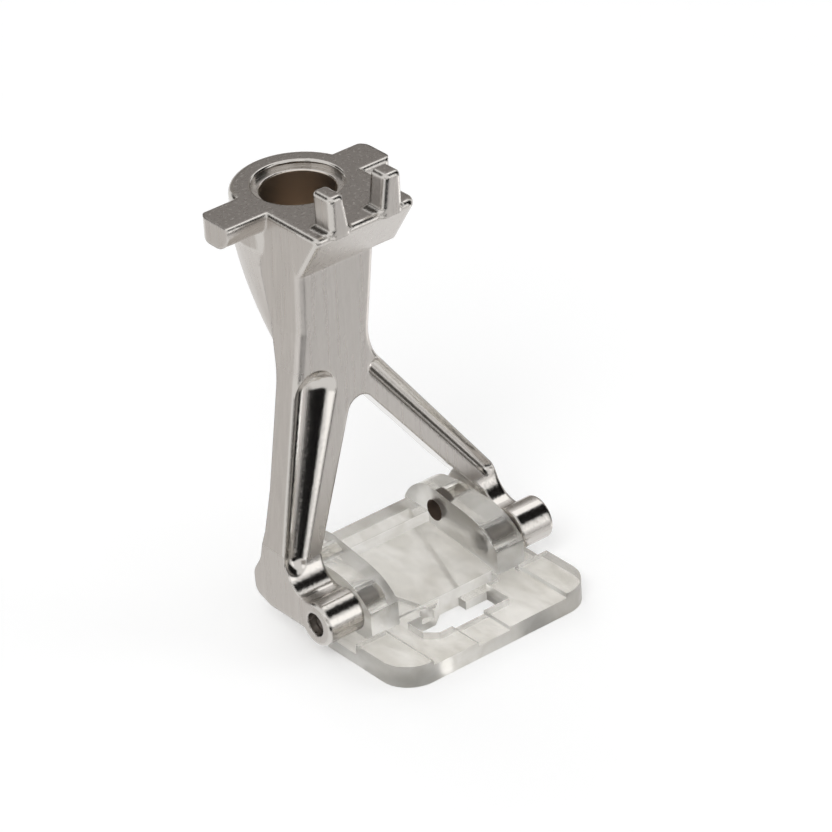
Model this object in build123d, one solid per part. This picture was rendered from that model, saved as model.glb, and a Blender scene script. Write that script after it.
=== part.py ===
import math
import os

from build123d import *

# Low-shank presser foot: cast fork with two pressed pivot pins and a clear tilting sole.
# The drawing frame has its origin in the middle of the pivot axis, X along the axis,
# Y to the back and Z up. The parts are moved to the socket's seat at the end.

# Socket and head
socket_x = -3.5
socket_y = 10.1
head_top_z = 35.35
seat_depth = 0.6
seat_r = 3.95
seat_edge_r = 0.22
bore_r = 3.29
bore_depth = 8.4
bore_edge_r = 0.15
collar_r = 5.85
collar_edge_r = 0.6
collar_bottom_z = 31.6

# Tapered body under the collar
cone_mid_z = 25.6
cone_mid_r = 4.75
cone_mid_x = -3.6
cone_mid_y = 9.75
cone_low_z = 19.0
cone_low_x = -5.5
cone_low_y = 5.2
cone_low_a = 2.6
cone_low_b = 0.9

# Ears
ear_drop = 2.25
ear_round = 1.7
left_ear_reach = 3.6
left_ear_front_y = 7.45
left_ear_back_y = 11.62
right_ear_reach = 2.55
right_ear_front_y = 8.0
right_ear_back_y = 12.1
ear_tip_r = 1.3
ear_front_r = 0.65
ear_edge_r = 0.35
ear_root_r = 2.2
left_ear_x = socket_x - collar_r - left_ear_reach
right_ear_x = socket_x + collar_r + right_ear_reach

# Front block with its slanted face
block_half = 5.42
block_front_y = 0.4
block_toe_y = 3.45
block_toe_z = 30.8
block_heel_y = 7.6
block_heel_z = 29.9
block_edge_r = 0.45
block_right_r = 1.0

# Two studs on the block's front edge
stud_front_y = 0.4
stud_height = 3.45
stud_side_r = 0.45
stud_edge_r = 0.4
stud_lean = 0.6
stud_foot = 0.4
left_stud_x0 = -7.5
left_stud_x1 = -5.4
left_stud_depth = 2.45
right_stud_x0 = -2.25
right_stud_x1 = 0.05
right_stud_depth = 2.1

# Fork seen from the front
fork_front_y = 3.5
fork_top_z = 33.0
column_left_x = -8.9
column_left_waist_x = -9.25
column_left_waist_z = 25.5
column_right_x = -0.62
knee_x = -2.15
knee_z = 21.7
knee_r = 5.0
leg_left_z = 5.0
crotch_x = -3.98
crotch_z = 19.0
crotch_r = 1.43
left_rib_foot_z = 4.0
right_rib_x = 5.9
right_rib_z = 6.3
right_rib_foot_z = 2.65
right_ankle_x = 10.95
right_ankle_z = 4.15
right_foot_x = 11.1
ankle_r = 3.0

# Fork seen from the side
leg_back_y = 6.2
calf_y = 6.5
calf_z = 6.4
shin_y = 7.15
shin_z = 3.5
heel_y = 8.3
heel_z = 1.75
heel_low_y = 8.2
heel_low_z = -0.25
heel_bottom_y = 6.2
heel_bottom_z = -0.95
shin_r = 3.0
heel_r = 1.6
heel_low_r = 0.9
column_back_y = 8.6
column_back_z = 29.5
column_bend_z = 21.0
bend_r = 9.0
instep_y = 0.6
instep_z = 1.75
instep_r = 2.3

# Bosses and pins
boss_outer_x = 12.5
left_boss_inner_x = -8.76
right_boss_inner_x = 9.0
boss_r = 2.0
boss_edge_r = 0.28
pin_r = 1.1
pin_recess = 0.85
pin_edge = 0.15
pin_clearance = 0.05

# Flutes in the front face
left_flute_top = (-8.05, 19.35)
left_flute_top_r = 2.5
left_flute_top_out = 1.2
left_flute_low = (-11.45, 4.4)
left_flute_low_r = 1.5
left_flute_low_out = 0.8
right_flute_top = (-1.55, 19.4)
right_flute_top_r = 0.85
right_flute_top_out = 0.25
right_flute_low = (9.9, 4.5)
right_flute_low_r = 0.8
right_flute_low_out = 0.25

# Rounded front edges of the fork
left_edge_r = 0.7
right_edge_r = 0.45

# Sole
sole_half = 10.65
sole_front_y = -9.53
sole_back_y = 10.0
sole_heel_half = 9.75
sole_heel_y = 0.9
sole_bottom_z = -3.49
sole_corner_r = 3.0
pad_top_z = -1.39
pad_back_y = -3.07
pad_inner_x = 7.4
front_top_z = -1.85
ledge_top_z = -2.4
ridge_inner_x = 5.5
ridge_gap = 0.24
ridge_front_y = -2.6
ridge_front_z = 0.45
ridge_brow_y = -1.9
ridge_brow_z = 1.15
ridge_top_y = -0.8
ridge_top_z = 1.9
ridge_waist_y = 1.7
ridge_waist_z = 2.62
ridge_rise_y = 4.4
ridge_rise_z = 3.0
ridge_crown_y = 6.9
ridge_crown_z = 3.2
ridge_back_y = 8.5
ridge_back_z = 2.45
ridge_bevel = 0.75
ridge_bevel_drop = 0.6
pin_wall = 0.5
pin_stop = 0.8
bar_top_z = 0.6
bar_front_y = 6.7
floor_back_z = -0.5
floor_front_z = -1.6
wall_y = -1.95
slot_left_x = -4.9
slot_right_x = 3.85
slot_front_y = -6.0
slot_back_y = -2.95
slot_corner = 1.0
notch_left_x = -0.6
notch_right_x = 1.5
notch_slope = 1.3
shelf_right_x = 5.3
shelf_z = -2.65
trough_top_z = -2.2
trough_left_x = -2.5
trough_right_x = 1.0
groove_front_half = 1.9
groove_back_half = 6.2
groove_depth = 0.8
groove_front_y = -1.9
cross_hole_r = 0.95
cross_hole_y = 5.85
cross_hole_z = 0.98
guide_r = 0.65
guide_x = -2.7
guide_y = -2.9
guide_low_z = -2.8

# Where the sole meets the fork
ridge_outer_x = -left_boss_inner_x - ridge_gap
pin_inner_x = ridge_inner_x + pin_stop


def across(sketch, x0, x1):
    """Prism along X between two values, from a sketch drawn as (y, z)."""
    return Pos(x0, 0, 0) * extrude(Plane.YZ * sketch, amount=x1 - x0)


def through(sketch, y0, y1):
    """Prism along Y between two values, from a sketch drawn as (x, z)."""
    return Pos(0, y0, 0) * extrude(Plane.XZ * sketch, amount=y0 - y1)


def block(x0, x1, y0, y1, z0, z1):
    """Box from its six limits."""
    centre = Pos((x0 + x1) / 2, (y0 + y1) / 2, (z0 + z1) / 2)
    return centre * Box(x1 - x0, y1 - y0, z1 - z0)


def outline(points):
    """Closed face through straight-sided points."""
    return make_face(Polyline(*points, close=True))


def rounded(face, x, y, radius):
    """The face with the corner nearest a point rounded."""
    corner = face.vertices().sort_by_distance((x, y, 0))[0]
    return fillet(corner, radius)


def edge_at(solid, x, y, z):
    """The solid's edge nearest to a point."""
    return solid.edges().sort_by_distance((x, y, z))[0]


def front_edge(solid, x0, z0, x1, z1):
    """The edge of the fork's front face nearest to the middle of two corners of its outline."""
    return edge_at(solid, (x0 + x1) / 2, fork_front_y, (z0 + z1) / 2)


def fork_front():
    """Column and two legs as seen from the front."""
    face = outline([
        (column_left_x, fork_top_z),
        (column_left_waist_x, column_left_waist_z),
        (-boss_outer_x, leg_left_z),
        (-boss_outer_x, -boss_r - 1),
        (left_boss_inner_x, -boss_r - 1),
        (left_boss_inner_x, left_rib_foot_z),
        (crotch_x, crotch_z),
        (right_rib_x, right_rib_z),
        (right_boss_inner_x, right_rib_foot_z),
        (right_boss_inner_x, -boss_r - 1),
        (right_foot_x, -boss_r - 1),
        (right_foot_x, boss_r),
        (right_ankle_x, right_ankle_z),
        (knee_x, knee_z),
        (column_right_x, fork_top_z),
    ])
    face = rounded(face, crotch_x, crotch_z, crotch_r)
    face = rounded(face, knee_x, knee_z, knee_r)
    return rounded(face, right_ankle_x, right_ankle_z, ankle_r)


def fork_side():
    """Column, leg and heel as seen from the side."""
    face = outline([
        (instep_y, heel_bottom_z),
        (instep_y, instep_z),
        (fork_front_y, instep_z),
        (fork_front_y, fork_top_z),
        (column_back_y, fork_top_z),
        (column_back_y, column_back_z),
        (leg_back_y, column_bend_z),
        (leg_back_y, calf_z + 4),
        (calf_y, calf_z),
        (shin_y, shin_z),
        (heel_y, heel_z),
        (heel_low_y, heel_low_z),
        (heel_bottom_y, heel_bottom_z),
    ])
    face = rounded(face, fork_front_y, instep_z, instep_r)
    face = rounded(face, leg_back_y, column_bend_z, bend_r)
    face = rounded(face, shin_y, shin_z, shin_r)
    face = rounded(face, heel_y, heel_z, heel_r)
    return rounded(face, heel_low_y, heel_low_z, heel_low_r)


def boss(x0, x1, outer_x):
    """Round boss between two values of X, its outer end rounded."""
    rod = Pos((x0 + x1) / 2, 0, 0) * Rot(0, 90, 0) * Cylinder(boss_r, x1 - x0)
    rim = rod.edges().filter_by(GeomType.CIRCLE).sort_by_distance((outer_x, 0, 0))[0]
    return fillet(rim, boss_edge_r)


def fork():
    """Legs and column: the two outlines crossed."""
    reach = boss_outer_x + 1
    solid = through(fork_front(), -boss_r - 1, heel_y + 2) & across(fork_side(), -reach, reach)
    left = [
        front_edge(solid, column_left_x, fork_top_z, column_left_waist_x, column_left_waist_z),
        front_edge(solid, column_left_waist_x, column_left_waist_z, -boss_outer_x, leg_left_z),
    ]
    solid = fillet(left, left_edge_r)
    right = [
        front_edge(solid, column_right_x, fork_top_z, knee_x, knee_z),
        front_edge(solid, knee_x, knee_z, knee_x, knee_z),
        front_edge(solid, knee_x, knee_z, right_ankle_x, right_ankle_z),
    ]
    solid = fillet(right, right_edge_r)
    solid += boss(-boss_outer_x, left_boss_inner_x, -boss_outer_x)
    return solid + boss(right_boss_inner_x, boss_outer_x, boss_outer_x)


def socket_body():
    """Collar and tapered body behind the column."""
    top = Plane((socket_x, socket_y, collar_bottom_z)) * Circle(collar_r)
    middle = Plane((cone_mid_x, cone_mid_y, cone_mid_z)) * Circle(cone_mid_r)
    low = Plane((cone_low_x, cone_low_y, cone_low_z)) * Ellipse(cone_low_a, cone_low_b)
    body = loft([low, middle, top])
    height = head_top_z - collar_bottom_z
    collar = Cylinder(collar_r, height, align=(Align.CENTER, Align.CENTER, Align.MIN))
    collar = fillet(collar.edges().group_by(Axis.Z)[-1], collar_edge_r)
    return body + Pos(socket_x, socket_y, collar_bottom_z) * collar


def ear_section(front_y, back_y):
    """Section of an ear: flat on top with rounded edges, round below."""
    low = head_top_z - ear_drop
    face = outline([
        (front_y, low),
        (back_y, low),
        (back_y, head_top_z),
        (front_y, head_top_z),
    ])
    face = rounded(face, front_y, low, ear_round)
    face = rounded(face, back_y, low, ear_round)
    face = rounded(face, back_y, head_top_z, ear_edge_r)
    return rounded(face, front_y, head_top_z, ear_edge_r)


def ears():
    """Two side ears with a rounded underside."""
    mid_y = (left_ear_front_y + left_ear_back_y) / 2
    left = Pos((left_ear_x + socket_x) / 2, mid_y) * Rectangle(
        socket_x - left_ear_x, left_ear_back_y - left_ear_front_y
    )
    mid_y = (right_ear_front_y + right_ear_back_y) / 2
    right = Pos((right_ear_x + socket_x) / 2, mid_y) * Rectangle(
        right_ear_x - socket_x, right_ear_back_y - right_ear_front_y
    )
    plan = Pos(socket_x, socket_y) * Circle(collar_r) + left + right
    plan = rounded(plan, left_ear_x, left_ear_back_y, ear_tip_r)
    plan = rounded(plan, right_ear_x, right_ear_back_y, ear_tip_r)
    plan = rounded(plan, right_ear_x, right_ear_front_y, ear_front_r)
    plan = rounded(plan, socket_x - collar_r, left_ear_back_y, ear_root_r)
    plan = rounded(plan, socket_x + collar_r, right_ear_back_y, ear_root_r)
    slab = Pos(0, 0, head_top_z - ear_drop) * extrude(plan, amount=ear_drop)
    left = across(ear_section(left_ear_front_y, left_ear_back_y), left_ear_x - 1, socket_x)
    right = across(ear_section(right_ear_front_y, right_ear_back_y), socket_x, right_ear_x + 1)
    return slab & (left + right)


def block_section():
    """Block with its slanted front, as seen from the side."""
    return outline([
        (block_front_y, head_top_z),
        (block_toe_y, block_toe_z),
        (block_heel_y, block_heel_z),
        (socket_y, block_heel_z),
        (socket_y, head_top_z),
    ])


def front_block():
    """Block with its slanted front face and rounded edges."""
    x0 = socket_x - block_half
    x1 = socket_x + block_half
    middle_y = (block_front_y + block_toe_y) / 2
    middle_z = (head_top_z + block_toe_z) / 2
    solid = across(block_section(), x0, x1)
    solid = fillet(edge_at(solid, x1, middle_y, middle_z), block_right_r)
    edges = [
        edge_at(solid, x0, middle_y, middle_z),
        edge_at(solid, x0, middle_y, head_top_z),
        edge_at(solid, x1, middle_y, head_top_z),
        edge_at(solid, socket_x, block_front_y, head_top_z),
    ]
    return fillet(edges, block_edge_r)


def stud(x0, x1, lean_left, lean_right, depth):
    """One upright stud: a leaning side, rounded edges, a flared foot and its front run down."""
    low = head_top_z - stud_foot
    top = head_top_z + stud_height
    back_y = stud_front_y + depth
    face = outline([(x0, low), (x1, low), (x1 - lean_right, top), (x0 + lean_left, top)])
    post = through(face, stud_front_y, back_y)
    sides = [
        edge_at(post, x, y, head_top_z) for x in (x0, x1) for y in (stud_front_y, back_y)
    ]
    post = fillet(sides, stud_side_r)
    post = fillet(post.edges().group_by(Axis.Z)[-1], stud_edge_r)
    foot_y = (stud_front_y + back_y) / 2 + stud_foot / 2
    wide = Plane(((x0 + x1) / 2, foot_y, head_top_z)) * RectangleRounded(
        x1 - x0 + 2 * stud_foot, depth + stud_foot, stud_side_r
    )
    narrow = Plane(((x0 + x1) / 2, foot_y - stud_foot / 2, head_top_z + stud_foot)) * RectangleRounded(
        x1 - x0, depth, stud_side_r
    )
    return post + loft([wide, narrow]) + across(block_section(), x0 + stud_side_r, x1 - stud_side_r)


def flute(top, top_r, top_out, low, low_r, low_out):
    """Tapered round channel between two points of the front face: two balls and their cone."""
    start = Vector(top[0], fork_front_y - top_out, top[1])
    end = Vector(low[0], fork_front_y - low_out, low[1])
    run = end - start
    lean = math.asin((top_r - low_r) / run.length)
    first = (top_r * math.cos(lean), top_r * math.sin(lean))
    last = (low_r * math.cos(lean), run.length + low_r * math.sin(lean))
    middle = math.radians(45) - lean / 2
    turn = math.radians(45) + lean / 2
    profile = Line((0, -top_r), (0, run.length + low_r))
    profile += ThreePointArc(
        (0, -top_r), (top_r * math.sin(turn), -top_r * math.cos(turn)), first
    )
    profile += Line(first, last)
    profile += ThreePointArc(
        last,
        (low_r * math.sin(middle), run.length + low_r * math.cos(middle)),
        (0, run.length + low_r),
    )
    body = revolve(Plane.XZ * make_face(profile), Axis.Z)
    return Plane(origin=start, z_dir=run) * body


def socket():
    """Cutter for the counterbore and the blind bore, with their rounded edges."""
    flare = seat_r + 2 * seat_edge_r
    face = outline([
        (0, seat_depth),
        (flare, seat_depth),
        (flare, 0),
        (seat_r, 0),
        (seat_r, -seat_depth),
        (bore_r, -seat_depth),
        (bore_r, -seat_depth - bore_depth),
        (0, -seat_depth - bore_depth),
    ])
    face = rounded(face, seat_r, 0, seat_edge_r)
    face = rounded(face, bore_r, -seat_depth, bore_edge_r)
    return revolve(Plane.XZ * face, Axis.Z)


def shank():
    """The casting in one piece."""
    solid = fork() + socket_body() + front_block() + ears()
    solid += stud(left_stud_x0, left_stud_x1, 0, stud_lean, left_stud_depth)
    solid += stud(right_stud_x0, right_stud_x1, stud_lean, 0, right_stud_depth)
    solid -= flute(
        left_flute_top, left_flute_top_r, left_flute_top_out,
        left_flute_low, left_flute_low_r, left_flute_low_out,
    )
    solid -= flute(
        right_flute_top, right_flute_top_r, right_flute_top_out,
        right_flute_low, right_flute_low_r, right_flute_low_out,
    )
    solid -= Pos(socket_x, socket_y, head_top_z) * socket()
    solid -= Rot(0, 90, 0) * Cylinder(pin_r, 2 * boss_outer_x + 2)
    return solid


def pin(side):
    """Pivot pin from its boss into the sole's ridge; side is -1 or +1."""
    outer = boss_outer_x - pin_recess
    length = outer - pin_inner_x
    middle = side * (outer + pin_inner_x) / 2
    rod = Pos(middle, 0, 0) * Rot(0, 90, 0) * Cylinder(pin_r, length)
    return chamfer(rod.edges().filter_by(GeomType.CIRCLE), pin_edge)


def ridge_section(drop):
    """Ridge seen from the side, its crown lowered to the back by up to a given drop."""
    crown = Spline(
        (ridge_front_y, ridge_front_z),
        (ridge_brow_y, ridge_brow_z),
        (ridge_top_y, ridge_top_z),
        (ridge_waist_y, ridge_waist_z),
        (ridge_rise_y, ridge_rise_z - drop / 2),
        (ridge_crown_y, ridge_crown_z - drop),
        (ridge_back_y, ridge_back_z - drop),
        (sole_back_y, bar_top_z - drop),
    )
    low = sole_bottom_z + 0.3
    rest = Polyline(
        (sole_back_y, bar_top_z - drop),
        (sole_back_y, low),
        (ridge_front_y, low),
        (ridge_front_y, ridge_front_z),
    )
    return make_face(crown + rest)


def ridge(side):
    """Hinge ridge of the sole with a bevelled outer edge; side is -1 or +1."""
    inner = side * ridge_inner_x
    outer = side * ridge_outer_x
    shoulder = outer - side * ridge_bevel
    body = across(ridge_section(0), min(inner, shoulder), max(inner, shoulder))
    high = Pos(shoulder, 0, 0) * (Plane.YZ * ridge_section(0))
    low = Pos(outer, 0, 0) * (Plane.YZ * ridge_section(ridge_bevel_drop))
    return body + loft([high, low], ruled=True)


def sole_plan():
    """Outline of the sole from above."""
    depth = sole_back_y - sole_front_y
    plan = Pos(0, (sole_back_y + sole_front_y) / 2) * Rectangle(2 * sole_half, depth)
    plan = fillet(plan.vertices().group_by(Axis.Y)[0], sole_corner_r)
    side = Rectangle(sole_half, sole_back_y, align=Align.MIN)
    plan -= Pos(sole_heel_half, sole_heel_y) * side
    return plan - Pos(-sole_heel_half - sole_half, sole_heel_y) * side


def sole_layer(top, x0, x1, y0, y1):
    """Part of the sole's plan between four limits, up to a given height."""
    layer = Pos(0, 0, sole_bottom_z) * extrude(sole_plan(), amount=top - sole_bottom_z)
    return layer & block(x0, x1, y0, y1, sole_bottom_z, top)


def sole_floor():
    """Sloping floor between the ridges and the bar behind it."""
    face = outline([
        (wall_y, sole_bottom_z),
        (wall_y, floor_front_z),
        (bar_front_y, floor_back_z),
        (bar_front_y, bar_top_z),
        (sole_back_y - 0.3, bar_top_z),
        (sole_back_y, bar_top_z - 0.3),
        (sole_back_y, sole_bottom_z),
    ])
    return across(face, -ridge_inner_x, ridge_inner_x)


def needle_slot():
    """Slot through the sole with its notch, shelf and thread guide."""
    face = outline([
        (slot_left_x, slot_back_y),
        (notch_left_x - notch_slope, slot_back_y),
        (notch_left_x, wall_y),
        (notch_right_x, wall_y),
        (notch_right_x, slot_back_y),
        (slot_right_x, slot_back_y),
        (slot_right_x, slot_front_y),
        (slot_left_x + slot_corner, slot_front_y),
        (slot_left_x, slot_front_y + slot_corner),
    ])
    cut = Pos(0, 0, sole_bottom_z - 1) * extrude(face, amount=6)
    cut += block(notch_right_x, shelf_right_x, slot_back_y, wall_y, shelf_z, 1)
    guide = Cylinder(guide_r, 3, align=(Align.CENTER, Align.CENTER, Align.MIN))
    return cut + Pos(guide_x, guide_y, guide_low_z) * guide


def under_groove():
    """Shallow groove under the sole that widens to the back."""
    face = outline([
        (-groove_front_half, groove_front_y),
        (groove_front_half, groove_front_y),
        (groove_back_half, sole_back_y + 1),
        (-groove_back_half, sole_back_y + 1),
    ])
    return Pos(0, 0, sole_bottom_z - 1) * extrude(face, amount=1 + groove_depth)


def pin_hole(side):
    """Blind hole for a pivot pin in a ridge; side is -1 or +1."""
    inner = ridge_inner_x + pin_wall
    middle = side * (inner + boss_outer_x) / 2
    return Pos(middle, 0, 0) * Rot(0, 90, 0) * Cylinder(pin_r + pin_clearance, boss_outer_x - inner)


def sole():
    """Clear sole with pads, ridges, cross bar, sloping floor, slot and holes."""
    solid = sole_layer(ledge_top_z, -sole_half, sole_half, sole_front_y, sole_back_y)
    solid += sole_layer(front_top_z, -pad_inner_x, pad_inner_x, sole_front_y, wall_y)
    solid += sole_layer(pad_top_z, -sole_half, -pad_inner_x, sole_front_y, pad_back_y)
    solid += sole_layer(pad_top_z, pad_inner_x, sole_half, sole_front_y, pad_back_y)
    solid += sole_floor() + ridge(-1) + ridge(1)
    solid -= block(trough_left_x, trough_right_x, sole_front_y - 1, slot_front_y + 1, trough_top_z, 1)
    solid -= needle_slot() + under_groove()
    solid -= pin_hole(-1) + pin_hole(1)
    cross_hole = Rot(0, 90, 0) * Cylinder(cross_hole_r, 2 * boss_outer_x)
    return solid - Pos(0, cross_hole_y, cross_hole_z) * cross_hole


to_seat = Pos(-socket_x, -socket_y, seat_depth - head_top_z)
os.makedirs("parts", exist_ok=True)
export_step(to_seat * shank(), "parts/shank.step")
export_step(to_seat * pin(-1), "parts/pivot_pin_left.step")
export_step(to_seat * pin(1), "parts/pivot_pin_right.step")
export_step(to_seat * sole(), "parts/sole.step")
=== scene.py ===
import math

import bpy
import numpy as np
from mathutils import Matrix, Vector


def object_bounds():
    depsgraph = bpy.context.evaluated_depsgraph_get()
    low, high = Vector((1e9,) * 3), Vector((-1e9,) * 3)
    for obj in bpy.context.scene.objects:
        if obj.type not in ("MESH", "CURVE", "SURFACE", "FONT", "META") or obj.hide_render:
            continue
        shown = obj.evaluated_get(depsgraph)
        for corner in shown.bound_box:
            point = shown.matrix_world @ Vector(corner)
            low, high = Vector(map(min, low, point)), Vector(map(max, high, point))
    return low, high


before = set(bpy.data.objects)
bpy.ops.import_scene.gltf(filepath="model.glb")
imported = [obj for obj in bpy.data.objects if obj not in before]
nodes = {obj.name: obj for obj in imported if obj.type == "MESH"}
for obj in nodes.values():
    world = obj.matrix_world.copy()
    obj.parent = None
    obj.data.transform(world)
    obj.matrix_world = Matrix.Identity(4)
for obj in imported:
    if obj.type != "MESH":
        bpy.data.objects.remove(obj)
cad_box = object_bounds()

MM = 0.001
PICTURE_PX = 832

# The photograph's camera: its bearing round the foot, its height over it and its lean, in
# degrees, then its distance, the picture's scale at the aim point, and that point.
CAMERA_AZIMUTH = -37.482
CAMERA_ELEVATION = 30.804
CAMERA_ROLL = -3.609
CAMERA_DISTANCE_MM = 406.47
PX_PER_MM = 11.7805
AIM_MM = (4.283, -8.621, -20.31)
SENSOR_MM = 36.0
NEAR_CLIP, FAR_CLIP = 0.01, 20.0

# Where the finishes change on the shank, and where the head top's painted shade begins, in mm in
# the part's frame, and the direction that the head's slanted front looks in.
HEAD_TOP_MM = 0.6
BORE_LEDGE_MM = 0.0
BORE_FLOOR_MM = -8.4
BORE_R_MM = 3.29
SEAT_R_MM = 3.95
COLLAR_FOOT_MM = -3.0
FLUTE_TOP_MM = -13.2
SLANTED_FACE = (0.0, -0.831, -0.557)

# How wide the change from one finish to the next is, and how near a surface it ends, in mm.
CHANGE_MM = 0.1
HAIR_MM = 0.02

# The part of a face's normal that lies along an axis: where a face begins to count as level, as
# ground flat or as a side wall, and where it fully does.
LEVEL_BEGINS, LEVEL_FULL = 0.9, 0.98
FLAT_BEGINS, FLAT_FULL = 0.97, 0.998
WALL_BEGINS, WALL_FULL = 0.5, 0.1

# The shank's patterns: how many go into a millimetre, and how deep the uneven ones are in mm.
STREAKS_PER_MM, STREAK_ENDS_PER_MM = 2.6, 0.1
TONES_PER_MM = 0.3
NICKS_PER_MM, NICK_DEPTH_MM = 3.5, 0.02
RIPPLES_PER_MM, RIPPLE_DEPTH_MM = 2.2, 0.05

# The pins' and the sole's patterns in the same way. The sole's flow is given for x, y and z.
RINGS_PER_MM, RING_PATCHES_PER_MM, RING_DEPTH_MM = 14.0, 0.6, 0.02
FLOW_PER_MM = (0.55, 0.2, 0.55)
SCUFFS_PER_MM = 1.4
WAVES_PER_MM, WAVE_DEPTH_MM = 0.5, 0.1

# Roughness, from 0 for a mirror to 1 for chalk. The grinding lines move the shank's by theirs
# either way, and the sole's side walls add theirs to the mould's.
POLISHED_ROUGHNESS = 0.12
GROUND_ROUGHNESS = 0.28
GRINDING_ROUGHNESS = 0.03
BORE_ROUGHNESS = 0.27
PIN_ROUGHNESS = 0.3
MOULD_ROUGHNESS, SCUFFED_ROUGHNESS = 0.11, 0.25
WALL_ROUGHNESS = 0.2
DARK_MOUTH_ROUGHNESS = 0.7

# The plastic's IOR, the share of light it lets through, and the worn edges' radii in mm, in the
# socket and elsewhere.
PLASTIC_IOR = 1.49
PLASTIC_CLEARNESS = 0.94
CRISP_EDGE_MM, WORN_EDGE_MM = 0.06, 0.34

# The sole's small cross hole: the middle of its axis, its radius, how deep the dark brown band
# reaches into its right-hand mouth, and how far the band's middle is from the axis's middle, in
# mm.
CROSS_HOLE_MM = (3.5, -4.25, -33.77)
CROSS_HOLE_R_MM = 0.95
DARK_MOUTH_DEPTH_MM = 0.7
DARK_MOUTH_MIDDLE_MM = 5.45 + DARK_MOUTH_DEPTH_MM

# The floor's half width in metres, its gap under the sole, and how brightly it shows by itself:
# to all rays that see it directly, and how much more to those that came through the plastic.
FLOOR_HALF = 3.0
FLOOR_GAP_MM = 0.02
FLOOR_LIFT = 0.3
FLOOR_LIFT_IN_PLASTIC = 0.2

# The white surround: the strength at which it lights, and at which it is seen.
SURROUND_LIGHT, SURROUND_SEEN = 0.6, 1.0

# Lamps: where they stand and their width in metres, and their power in watts.
LAMPS = (
    ("key", (-0.35, -0.25, 0.45), 0.35, 1.1),
    ("fill", (0.45, -0.35, 0.25), 0.4, 0.5),
    ("rim", (0.1, 0.5, 0.35), 0.4, 0.5),
)

# Cards that only the metal shows: bearing from the front to the right, height over the foot's
# middle, half the width and half the height, all in degrees, the card's colour and brightness.
CARDS = (
    ("black_card_front", -8.0, -12.0, 36.0, 11.5, "#100f0f", 1.0),
    ("black_card_low", 21.0, -23.5, 11.0, 5.5, "#100f0f", 1.0),
    ("grey_card_right", 63.0, -12.0, 15.0, 10.0, "#5c5a57", 1.0),
    ("black_card_right", 63.0, 28.0, 23.0, 31.0, "#1c1b1a", 1.0),
    ("black_card_back", -158.0, 27.0, 20.0, 17.0, "#4a4744", 1.0),
    ("grey_card_back", 140.0, 17.0, 36.0, 19.0, "#9a9692", 1.0),
    ("grey_card_left", -52.0, 21.0, 19.0, 12.0, "#a8a4a0", 1.0),
    ("grey_card_low", -140.0, -24.0, 20.0, 11.0, "#e2e0de", 1.0),
    ("white_card_key", -48.0, 46.0, 9.0, 11.0, "#ffffff", 1.6),
    ("white_card_left", -68.0, -3.0, 15.0, 6.0, "#ffffff", 1.6),
    ("white_card_front", 28.0, 9.0, 5.0, 14.0, "#ffffff", 1.7),
    ("white_card_right", 66.0, -32.0, 9.0, 7.0, "#ffffff", 2.4),
    ("white_card_high", 112.0, 54.0, 14.0, 8.0, "#ffffff", 1.6),
)
CARD_DISTANCE = 1.5
CARD_CENTRE_MM = (-2.0, -8.0, -24.0)

# The Mix node's sockets go by number, because those for colours and numbers share their names.
COLOUR_A, COLOUR_B, COLOUR_OUT = 6, 7, 2
NUMBER_A, NUMBER_B = 2, 3


def linear(hex_colour):
    """An sRGB hex colour as the linear RGBA that a shader takes."""
    channels = [int(hex_colour[i:i + 2], 16) / 255 for i in (1, 3, 5)]
    low = [c / 12.92 if c <= 0.04045 else ((c + 0.055) / 1.055) ** 2.4 for c in channels]
    return (*low, 1.0)


def add(tree, kind, settings=None, links=None):
    """A node of this kind, with its settings by attribute or socket, and its links by socket."""
    node = tree.nodes.new(kind)
    for key, value in (settings or {}).items():
        if isinstance(key, str) and hasattr(node, key) and key not in node.inputs:
            setattr(node, key, value)
        else:
            node.inputs[key].default_value = value
    for key, source in (links or {}).items():
        tree.links.new(source, node.inputs[key])
    return node


def new_material(name):
    """An empty material, its node tree and its output node."""
    material = bpy.data.materials.new(name)
    material.use_nodes = True
    material.node_tree.nodes.clear()
    output = add(material.node_tree, "ShaderNodeOutputMaterial")
    return material, material.node_tree, output


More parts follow.
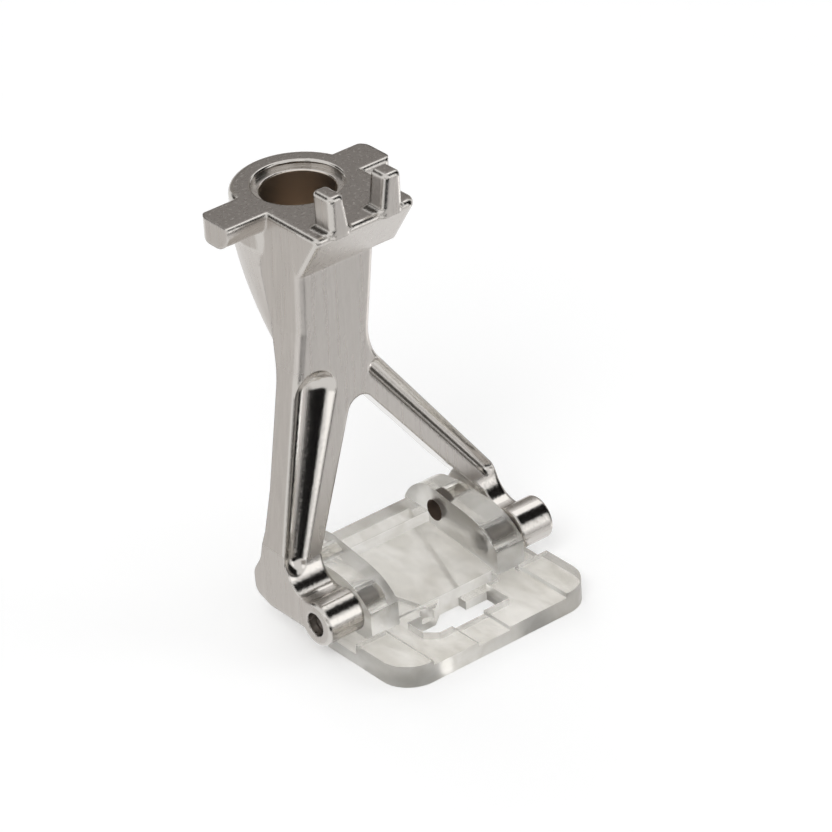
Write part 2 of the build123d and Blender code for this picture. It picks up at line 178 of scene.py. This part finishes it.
def satin_nickel_plate():
    """Cast steel, ground on its flats, tumbled and nickel plated."""
    material, tree, output = new_material("satin_nickel_plate")
    place = add(tree, "ShaderNodeTexCoord").outputs["Object"]
    in_mm = add(tree, "ShaderNodeMapping", {"Scale": (1 / MM, 1 / MM, 1 / MM)},
                {"Vector": place})
    upright = add(tree, "ShaderNodeMapping",
                  {"Scale": (STREAKS_PER_MM / MM, STREAKS_PER_MM / MM, STREAK_ENDS_PER_MM / MM)},
                  {"Vector": place})
    axes = add(tree, "ShaderNodeSeparateXYZ", links={"Vector": in_mm.outputs[0]})
    normal = add(tree, "ShaderNodeTexCoord").outputs["Normal"]
    facing = add(tree, "ShaderNodeSeparateXYZ", links={"Vector": normal})

    # Grinding ran up and down the column, which gives the eye faint upright streaks. Real ones
    # are under a tenth of a millimetre wide. They are drawn about 0.4 mm wide, so that they show.
    streaks = add(tree, "ShaderNodeTexNoise", {"Scale": 1.0, "Detail": 3.0},
                  {"Vector": upright.outputs[0]})
    plate = add(tree, "ShaderNodeMix",
                {"data_type": "RGBA", COLOUR_A: linear("#b8b3ae"), COLOUR_B: linear("#d1ccc7")},
                {"Factor": streaks.outputs["Fac"]})

    # Tumbling leaves slow changes of tone, about 3 mm wide.
    cloud = add(tree, "ShaderNodeTexNoise", {"Scale": TONES_PER_MM, "Detail": 2.0},
                {"Vector": in_mm.outputs[0]})
    patch = add(tree, "ShaderNodeMapRange", {"From Min": 0.35, "From Max": 0.7, "To Max": 0.5},
                {"Value": cloud.outputs["Fac"]})
    plate = add(tree, "ShaderNodeMix", {"data_type": "RGBA", COLOUR_B: linear("#c8c3be")},
                {"Factor": patch.outputs[0], COLOUR_A: plate.outputs[COLOUR_OUT]})

    # The head's top faces are painted darker, a painted shade, and carry bright nicks about 0.3 mm
    # wide.
    grain = add(tree, "ShaderNodeTexNoise", {"Scale": NICKS_PER_MM, "Detail": 3.0},
                {"Vector": in_mm.outputs[0]})
    nick = add(tree, "ShaderNodeMapRange", {"From Min": 0.58, "From Max": 0.7},
               {"Value": grain.outputs["Fac"]})
    top_shade_and_nicks = add(tree, "ShaderNodeMix",
               {"data_type": "RGBA", COLOUR_A: linear("#a49f9b"), COLOUR_B: linear("#cbc7c3")},
               {"Factor": nick.outputs[0]})
    high = add(tree, "ShaderNodeMapRange",
               {"From Min": HEAD_TOP_MM - CHANGE_MM, "From Max": HEAD_TOP_MM - HAIR_MM},
               {"Value": axes.outputs["Z"]})
    level = add(tree, "ShaderNodeMapRange", {"From Min": LEVEL_BEGINS, "From Max": LEVEL_FULL},
                {"Value": facing.outputs["Z"]})
    on_top = add(tree, "ShaderNodeMath", {"operation": "MULTIPLY"},
                 {0: high.outputs[0], 1: level.outputs[0]})
    colour = add(tree, "ShaderNodeMix", {"data_type": "RGBA"},
                 {"Factor": on_top.outputs[0], COLOUR_A: plate.outputs[COLOUR_OUT],
                  COLOUR_B: top_shade_and_nicks.outputs[COLOUR_OUT]})

    # The ground flats, the slanted face and the body under the collar are satin. The tumbled
    # edges, the flutes and the bosses are near a mirror, so they show the cards as bands.
    ax = add(tree, "ShaderNodeMath", {"operation": "ABSOLUTE"}, {0: facing.outputs["X"]})
    ay = add(tree, "ShaderNodeMath", {"operation": "ABSOLUTE"}, {0: facing.outputs["Y"]})
    square = add(tree, "ShaderNodeMath", {"operation": "MAXIMUM"},
                 {0: ax.outputs[0], 1: ay.outputs[0]})
    square = add(tree, "ShaderNodeMath", {"operation": "MAXIMUM"},
                 {0: square.outputs[0], 1: level.outputs[0]})
    slant = add(tree, "ShaderNodeVectorMath", {"operation": "DOT_PRODUCT", 1: SLANTED_FACE},
                {0: normal})
    square = add(tree, "ShaderNodeMath", {"operation": "MAXIMUM"},
                 {0: square.outputs[0], 1: slant.outputs["Value"]})
    ground = add(tree, "ShaderNodeMapRange", {"From Min": FLAT_BEGINS, "From Max": FLAT_FULL},
                 {"Value": square.outputs[0]})
    over_flutes = add(tree, "ShaderNodeMapRange",
                      {"From Min": FLUTE_TOP_MM - 0.4, "From Max": FLUTE_TOP_MM + 0.4},
                      {"Value": axes.outputs["Z"]})
    under_collar = add(tree, "ShaderNodeMapRange",
                       {"From Min": COLLAR_FOOT_MM, "From Max": COLLAR_FOOT_MM - 0.6},
                       {"Value": axes.outputs["Z"]})
    body = add(tree, "ShaderNodeMath", {"operation": "MULTIPLY"},
               {0: over_flutes.outputs[0], 1: under_collar.outputs[0]})
    ground = add(tree, "ShaderNodeMath", {"operation": "MAXIMUM"},
                 {0: ground.outputs[0], 1: body.outputs[0]})
    colour = add(tree, "ShaderNodeMix", {"data_type": "RGBA", COLOUR_A: linear("#c9c5c0")},
                 {"Factor": ground.outputs[0], COLOUR_B: colour.outputs[COLOUR_OUT]})

    # The bore is reamed and oiled: a brown cast inside its radius, from the ledge to its floor.
    flat = add(tree, "ShaderNodeCombineXYZ",
               links={"X": axes.outputs["X"], "Y": axes.outputs["Y"]})
    reach = add(tree, "ShaderNodeVectorMath", {"operation": "LENGTH"}, {0: flat.outputs[0]})
    inside = add(tree, "ShaderNodeMapRange",
                 {"From Min": BORE_R_MM + CHANGE_MM, "From Max": BORE_R_MM + HAIR_MM},
                 {"Value": reach.outputs["Value"]})
    below = add(tree, "ShaderNodeMapRange",
                {"From Min": BORE_LEDGE_MM, "From Max": BORE_LEDGE_MM - CHANGE_MM},
                {"Value": axes.outputs["Z"]})
    over_floor = add(tree, "ShaderNodeMapRange",
                     {"From Min": BORE_FLOOR_MM - CHANGE_MM, "From Max": BORE_FLOOR_MM - HAIR_MM},
                     {"Value": axes.outputs["Z"]})
    in_bore = add(tree, "ShaderNodeMath", {"operation": "MULTIPLY"},
                  {0: inside.outputs[0], 1: below.outputs[0]})
    in_bore = add(tree, "ShaderNodeMath", {"operation": "MULTIPLY"},
                  {0: in_bore.outputs[0], 1: over_floor.outputs[0]})
    colour = add(tree, "ShaderNodeMix", {"data_type": "RGBA", COLOUR_B: linear("#ddd2c6")},
                 {"Factor": in_bore.outputs[0], COLOUR_A: colour.outputs[COLOUR_OUT]})

    # Ground faces are duller than polished ones, and the grinding lines vary the gloss a little.
    satin = add(tree, "ShaderNodeMapRange",
                {"To Min": POLISHED_ROUGHNESS, "To Max": GROUND_ROUGHNESS},
                {"Value": ground.outputs[0]})
    rough = add(tree, "ShaderNodeMapRange",
                {"To Min": -GRINDING_ROUGHNESS, "To Max": GRINDING_ROUGHNESS},
                {"Value": streaks.outputs["Fac"]})
    rough = add(tree, "ShaderNodeMath", {"operation": "ADD"},
                {0: satin.outputs[0], 1: rough.outputs[0]})
    rough = add(tree, "ShaderNodeMix", {NUMBER_B: BORE_ROUGHNESS},
                {"Factor": in_bore.outputs[0], NUMBER_A: rough.outputs[0]})

    # Tumbling wore every edge round, which gives the edges their soft light and dark lines.
    # The socket was cut after that, and its edges are crisp.
    worn_r = add(tree, "ShaderNodeMapRange",
                 {"From Min": SEAT_R_MM + CHANGE_MM, "From Max": SEAT_R_MM + 0.5,
                  "To Min": CRISP_EDGE_MM * MM, "To Max": WORN_EDGE_MM * MM},
                 {"Value": reach.outputs["Value"]})
    edge = add(tree, "ShaderNodeBevel", {"samples": 6}, {"Radius": worn_r.outputs[0]})

    # Under the plate the casting is faintly rippled, about half a millimetre from one ripple to
    # the next, so the edges of reflections waver. The nicks roughen it a little more.
    ripple = add(tree, "ShaderNodeTexNoise", {"Scale": RIPPLES_PER_MM, "Detail": 3.0},
                 {"Vector": in_mm.outputs[0]})
    bump = add(tree, "ShaderNodeBump", {"Strength": 0.2, "Distance": RIPPLE_DEPTH_MM * MM},
               {"Height": ripple.outputs["Fac"], "Normal": edge.outputs[0]})
    bump = add(tree, "ShaderNodeBump", {"Strength": 0.06, "Distance": NICK_DEPTH_MM * MM},
               {"Height": grain.outputs["Fac"], "Normal": bump.outputs[0]})
    shader = add(tree, "ShaderNodeBsdfPrincipled", {"Metallic": 1.0},
                 {"Base Color": colour.outputs[COLOUR_OUT], "Roughness": rough.outputs[0],
                  "Normal": bump.outputs[0]})
    tree.links.new(shader.outputs[0], output.inputs["Surface"])
    return material


def turned_pin_steel():
    """A turned steel pin: darker than the plate, with fine rings from the lathe round its axis."""
    material, tree, output = new_material("turned_pin_steel")
    place = add(tree, "ShaderNodeTexCoord").outputs["Object"]

    # The lathe's feed leaves rings about 0.07 mm apart, which give the eye a dull dark grey.
    along = add(tree, "ShaderNodeMapping",
                {"Scale": (RINGS_PER_MM / MM, RING_PATCHES_PER_MM / MM, RING_PATCHES_PER_MM / MM)},
                {"Vector": place})
    rings = add(tree, "ShaderNodeTexNoise", {"Scale": 1.0, "Detail": 2.0},
                {"Vector": along.outputs[0]})
    colour = add(tree, "ShaderNodeMix",
                 {"data_type": "RGBA", COLOUR_A: linear("#55504c"), COLOUR_B: linear("#77726e")},
                 {"Factor": rings.outputs["Fac"]})
    bump = add(tree, "ShaderNodeBump", {"Strength": 0.15, "Distance": RING_DEPTH_MM * MM},
               {"Height": rings.outputs["Fac"]})
    shader = add(tree, "ShaderNodeBsdfPrincipled", {"Metallic": 1.0, "Roughness": PIN_ROUGHNESS},
                 {"Base Color": colour.outputs[COLOUR_OUT], "Normal": bump.outputs[0]})
    tree.links.new(shader.outputs[0], output.inputs["Surface"])
    return material


def moulded_clear_plastic():
    """Injection moulded clear plastic, polished in the mould and slightly scuffed in use."""
    material, tree, output = new_material("moulded_clear_plastic")
    place = add(tree, "ShaderNodeTexCoord").outputs["Object"]
    in_mm = add(tree, "ShaderNodeMapping", {"Scale": (1 / MM, 1 / MM, 1 / MM)},
                {"Vector": place})

    # The plastic flowed in from the back, which leaves soft cloudy bands about 2 mm apart.
    flow = add(tree, "ShaderNodeMapping", {"Scale": [per_mm / MM for per_mm in FLOW_PER_MM]},
               {"Vector": place})
    cloud = add(tree, "ShaderNodeTexNoise", {"Scale": 1.0, "Detail": 3.0, "Distortion": 0.8},
                {"Vector": flow.outputs[0]})
    band = add(tree, "ShaderNodeMapRange", {"From Min": 0.35, "From Max": 0.65},
               {"Value": cloud.outputs["Fac"]})
    colour = add(tree, "ShaderNodeMix",
                 {"data_type": "RGBA", COLOUR_A: linear("#d8d5ce"), COLOUR_B: linear("#f1efeb")},
                 {"Factor": band.outputs[0]})

    # Scuffs about 0.7 mm wide from the cloth that ran under it dull the gloss here and there.
    scuff = add(tree, "ShaderNodeTexNoise", {"Scale": SCUFFS_PER_MM, "Detail": 3.0},
                {"Vector": in_mm.outputs[0]})
    rough = add(tree, "ShaderNodeMapRange",
                {"To Min": MOULD_ROUGHNESS, "To Max": SCUFFED_ROUGHNESS},
                {"Value": scuff.outputs["Fac"]})

    # The side walls dragged on the mould as the part came out, so they are frosted.
    normal = add(tree, "ShaderNodeTexCoord").outputs["Normal"]
    facing = add(tree, "ShaderNodeSeparateXYZ", links={"Vector": normal})
    level = add(tree, "ShaderNodeMath", {"operation": "ABSOLUTE"}, {0: facing.outputs["Z"]})
    drag = add(tree, "ShaderNodeMapRange",
               {"From Min": WALL_BEGINS, "From Max": WALL_FULL, "To Max": WALL_ROUGHNESS},
               {"Value": level.outputs[0]})
    rough = add(tree, "ShaderNodeMath", {"operation": "ADD"},
                {0: rough.outputs[0], 1: drag.outputs[0]})

    # The mould's faces are a little wavy, about 2 mm from wave to wave, which bends what is seen
    # through them.
    wave = add(tree, "ShaderNodeTexNoise", {"Scale": WAVES_PER_MM, "Detail": 1.0},
               {"Vector": in_mm.outputs[0]})
    bump = add(tree, "ShaderNodeBump", {"Strength": 0.35, "Distance": WAVE_DEPTH_MM * MM},
               {"Height": wave.outputs["Fac"]})
    clear = add(tree, "ShaderNodeBsdfPrincipled",
                {"Transmission Weight": PLASTIC_CLEARNESS, "IOR": PLASTIC_IOR},
                {"Base Color": colour.outputs[COLOUR_OUT], "Roughness": rough.outputs[0],
                 "Normal": bump.outputs[0]})

    # The wall of the right-hand cross hole is dark brown near its mouth.
    from_hole = add(tree, "ShaderNodeVectorMath", {"operation": "SUBTRACT", 1: CROSS_HOLE_MM},
                    {0: in_mm.outputs[0]})
    round_it = add(tree, "ShaderNodeVectorMath", {"operation": "MULTIPLY", 1: (0.0, 1.0, 1.0)},
                   {0: from_hole.outputs[0]})
    reach = add(tree, "ShaderNodeVectorMath", {"operation": "LENGTH"}, {0: round_it.outputs[0]})
    on_wall = add(tree, "ShaderNodeMapRange",
                  {"From Min": CROSS_HOLE_R_MM + 0.08, "From Max": CROSS_HOLE_R_MM + 0.03},
                  {"Value": reach.outputs["Value"]})
    axes = add(tree, "ShaderNodeSeparateXYZ", links={"Vector": from_hole.outputs[0]})
    at_mouth = add(tree, "ShaderNodeMath",
                   {"operation": "COMPARE", 1: DARK_MOUTH_MIDDLE_MM, 2: DARK_MOUTH_DEPTH_MM},
                   {0: axes.outputs["X"]})
    dark_mouth_mask = add(tree, "ShaderNodeMath", {"operation": "MULTIPLY"},
                {0: on_wall.outputs[0], 1: at_mouth.outputs[0]})
    dark_mouth_wall = add(tree, "ShaderNodeBsdfPrincipled",
               {"Base Color": linear("#4d4036"), "Roughness": DARK_MOUTH_ROUGHNESS})
    shader = add(tree, "ShaderNodeMixShader",
                 links={0: dark_mouth_mask.outputs[0], 1: clear.outputs[0], 2: dark_mouth_wall.outputs[0]})
    tree.links.new(shader.outputs[0], output.inputs["Surface"])
    return material


def seen_directly(tree):
    """1 for rays from the camera and for those that metal and glass send on, else 0."""
    path = add(tree, "ShaderNodeLightPath")
    total = path.outputs["Is Camera Ray"]
    for name in ("Is Glossy Ray", "Is Transmission Ray"):
        total = add(tree, "ShaderNodeMath", {"operation": "MAXIMUM"},
                    {0: total, 1: path.outputs[name]}).outputs[0]
    return total


def pale_floor():
    """Matt pale board that shows a little light of its own, so that its far parts stay white."""
    material, tree, output = new_material("pale_floor")
    path = add(tree, "ShaderNodeLightPath")
    lift = add(tree, "ShaderNodeMath", {"operation": "MULTIPLY", 1: FLOOR_LIFT},
               {0: seen_directly(tree)})
    lift = add(tree, "ShaderNodeMath", {"operation": "MULTIPLY_ADD", 1: FLOOR_LIFT_IN_PLASTIC},
               {0: path.outputs["Is Transmission Ray"], 2: lift.outputs[0]})
    shader = add(tree, "ShaderNodeBsdfPrincipled",
                 {"Base Color": linear("#e8e8e8"), "Roughness": 0.9, "Specular IOR Level": 0.0,
                  "Emission Color": (1, 1, 1, 1)},
                 {"Emission Strength": lift.outputs[0]})
    tree.links.new(shader.outputs[0], output.inputs["Surface"])
    return material


def card_finish(name, hex_colour, brightness):
    """Dull painted card. Rays that came through the plastic pass it, so that it stays clear."""
    material, tree, output = new_material(name)
    paint = add(tree, "ShaderNodeEmission",
                {"Color": linear(hex_colour), "Strength": brightness})
    clear = add(tree, "ShaderNodeBsdfTransparent")
    path = add(tree, "ShaderNodeLightPath")
    mix = add(tree, "ShaderNodeMixShader",
              links={0: path.outputs["Transmission Depth"], 1: paint.outputs[0],
                     2: clear.outputs[0]})
    tree.links.new(mix.outputs[0], output.inputs["Surface"])
    return material


def flat_sheet(name, middle, across, rise, material):
    """A flat sheet. Its point (u, v) is the middle plus u times across plus v times rise.

    Its corners are where u and v are -1 or 1.
    """
    u, v = np.array([-1.0, 1.0, 1.0, -1.0]), np.array([-1.0, -1.0, 1.0, 1.0])
    corners = np.array(middle) + np.outer(u, across) + np.outer(v, rise)
    mesh = bpy.data.meshes.new(name)
    mesh.from_pydata(corners.tolist(), [], [(0, 1, 2, 3)])
    mesh.materials.append(material)
    sheet = bpy.data.objects.new(name, mesh)
    bpy.context.scene.collection.objects.link(sheet)
    return sheet


def way_to(azimuth, elevation):
    """The way out to a bearing and height in degrees, and the right and up square to it."""
    azimuth, elevation = math.radians(azimuth), math.radians(elevation)
    out = Vector((math.sin(azimuth) * math.cos(elevation),
                  -math.cos(azimuth) * math.cos(elevation), math.sin(elevation)))
    right = Vector((math.cos(azimuth), math.sin(azimuth), 0.0))
    return out, right, out.cross(right)


def studio_floor():
    """A plain pale floor under the sole. It keeps the foot's shadow.

    The metal shows the white surround in its place, so its reflections don't change with height.
    """
    middle = (0.0, 0.0, cad_box[0].z - FLOOR_GAP_MM * MM)
    floor = flat_sheet("studio_floor", middle, (FLOOR_HALF, 0.0, 0.0), (0.0, FLOOR_HALF, 0.0),
                       pale_floor())
    floor.visible_glossy = False


def studio_cards():
    """The studio's cards, which give the metal its dark and light bands.

    Each is a flat sheet square to the line from its bearing and height to the foot.
    """
    centre = Vector(CARD_CENTRE_MM) * MM
    for name, azimuth, elevation, half_width, half_height, hex_colour, brightness in CARDS:
        out, right, up = way_to(azimuth, elevation)
        card = flat_sheet(name, centre + out * CARD_DISTANCE,
                          right * CARD_DISTANCE * math.tan(math.radians(half_width)),
                          up * CARD_DISTANCE * math.tan(math.radians(half_height)),
                          card_finish(name, hex_colour, brightness))
        card.visible_camera = False
        card.visible_diffuse = False
        card.visible_transmission = False
        card.visible_shadow = False


def studio_light():
    """A white surround, seen at strength 1 and lighting at less, and three soft lamps.

    The metal shows the white cards in the lamps' place.
    """
    world = bpy.data.worlds.new("studio")
    bpy.context.scene.world = world
    world.use_nodes = True
    tree = world.node_tree
    tree.nodes.clear()
    strength = add(tree, "ShaderNodeMapRange",
                   {"To Min": SURROUND_LIGHT, "To Max": SURROUND_SEEN},
                   {"Value": seen_directly(tree)})
    sky = add(tree, "ShaderNodeBackground", {"Color": (1, 1, 1, 1)},
              {"Strength": strength.outputs["Result"]})
    add(tree, "ShaderNodeOutputWorld", links={"Surface": sky.outputs[0]})
    for name, place, size, power in LAMPS:
        lamp = bpy.data.lights.new(name, "AREA")
        lamp.shape = "DISK"
        lamp.size = size
        lamp.energy = power
        holder = bpy.data.objects.new(name, lamp)
        bpy.context.scene.collection.objects.link(holder)
        holder.location = place
        holder.visible_glossy = False
        holder.rotation_euler = (-Vector(place)).to_track_quat("-Z", "Y").to_euler()


def photo_camera():
    """A camera whose right and up are turned by the roll about the line to the aim point."""
    roll = math.radians(CAMERA_ROLL)
    back, flat_right, flat_up = way_to(CAMERA_AZIMUTH, CAMERA_ELEVATION)
    right = math.cos(roll) * flat_right + math.sin(roll) * flat_up
    up = back.cross(right)
    place = Vector(AIM_MM) * MM + back * CAMERA_DISTANCE_MM * MM
    data = bpy.data.cameras.new("photo_camera")
    data.sensor_fit = "HORIZONTAL"
    data.sensor_width = SENSOR_MM
    data.lens = PX_PER_MM * CAMERA_DISTANCE_MM / PICTURE_PX * SENSOR_MM
    data.clip_start, data.clip_end = NEAR_CLIP, FAR_CLIP
    camera = bpy.data.objects.new("photo_camera", data)
    bpy.context.scene.collection.objects.link(camera)
    turned = Matrix((right, up, back)).transposed().to_4x4()
    camera.matrix_world = Matrix.Translation(place) @ turned
    bpy.context.scene.camera = camera


def dress():
    """Each CAD node's finish."""
    plate, pin, plastic = satin_nickel_plate(), turned_pin_steel(), moulded_clear_plastic()
    finishes = {"shank": plate, "pivot_pin_left": pin, "pivot_pin_right": pin, "sole": plastic}
    for name, material in finishes.items():
        node = nodes[name]
        node.data.materials.clear()
        node.data.materials.append(material)


dress()
studio_floor()
studio_cards()
studio_light()
photo_camera()
bpy.context.scene.view_settings.view_transform = "Standard"
